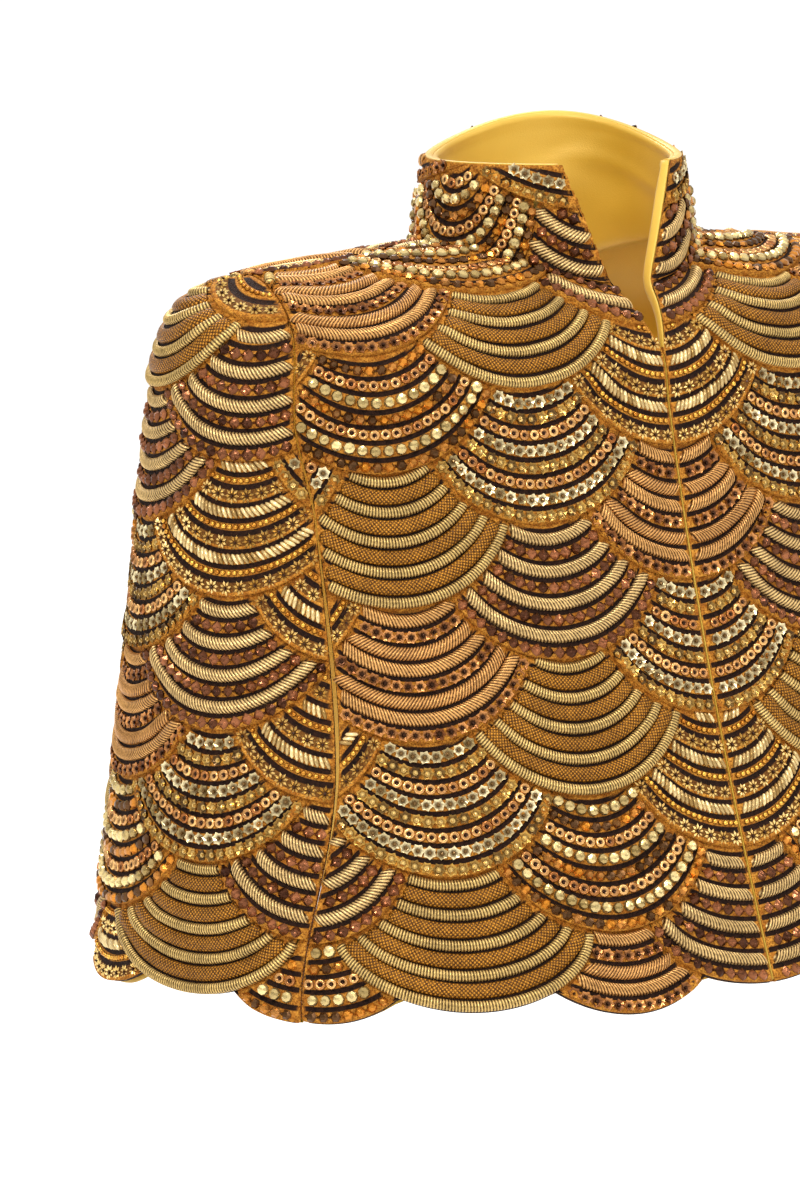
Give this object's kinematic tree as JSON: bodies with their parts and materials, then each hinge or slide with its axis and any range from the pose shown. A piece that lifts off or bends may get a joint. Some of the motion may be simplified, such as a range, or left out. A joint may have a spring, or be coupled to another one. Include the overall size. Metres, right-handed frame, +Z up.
{
  "type": "cape jacket",
  "caption": "Hip-length cape jacket with a stand collar, side panels over the arms, arm slits and overlapping scallops of cords and beads.",
  "frame": {"origin": "middle of the neck opening, level with the shoulder ridge beside it, where the wearer's neck and shoulders hold the jacket", "axes": "+X to the wearer's left, +Z up along the wearer's neck, the wearer faces -Y"},
  "size_m": [0.554, 0.3446, 0.4508],
  "materials": {
    "embroidered_cloth": "ochre cloth under cords and beads",
    "satin": "soft sheen"
  },
  "bodies": {
    "root": {"front_right": "embroidered_cloth", "front_left": "embroidered_cloth", "side_right": "embroidered_cloth", "side_left": "embroidered_cloth", "back": "embroidered_cloth", "collar": "embroidered_cloth", "collar_lining": "satin", "front_facing_right": "satin", "front_facing_left": "satin", "slit_facing_front_right": "satin", "slit_facing_front_left": "satin", "slit_facing_side_right": "satin", "slit_facing_side_left": "satin"}
  },
  "joints": []
}
